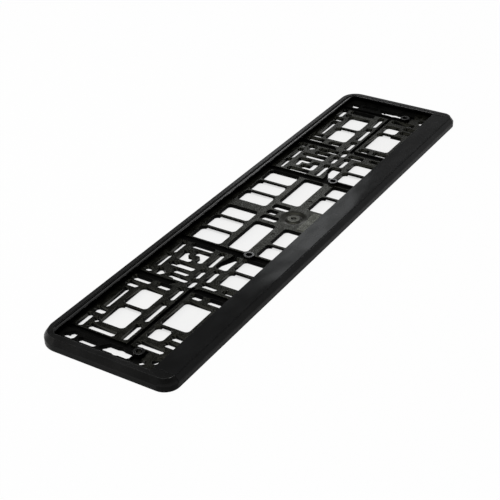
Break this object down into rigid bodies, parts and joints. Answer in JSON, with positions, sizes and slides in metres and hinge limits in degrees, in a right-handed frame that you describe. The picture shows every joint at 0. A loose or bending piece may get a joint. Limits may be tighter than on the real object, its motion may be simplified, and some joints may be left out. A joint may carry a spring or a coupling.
{
  "type": "number plate holder",
  "caption": "Long flat tray with a raised rim, an open lattice deck and a clip-in lower strip that holds a vehicle's number plate against the body.",
  "frame": {"origin": "middle of the back face, which lies against the vehicle", "axes": "+X along the plate, +Y towards its upper edge, +Z out of the face of the plate"},
  "size_m": [0.532, 0.1322, 0.0103],
  "materials": {
    "tray_plastic": "black moulded polypropylene with a fine satin grain",
    "strip_plastic": "black moulded polypropylene, smooth satin"
  },
  "bodies": {
    "root": {"base_tray": "tray_plastic", "retaining_strip": "strip_plastic"}
  },
  "joints": []
}
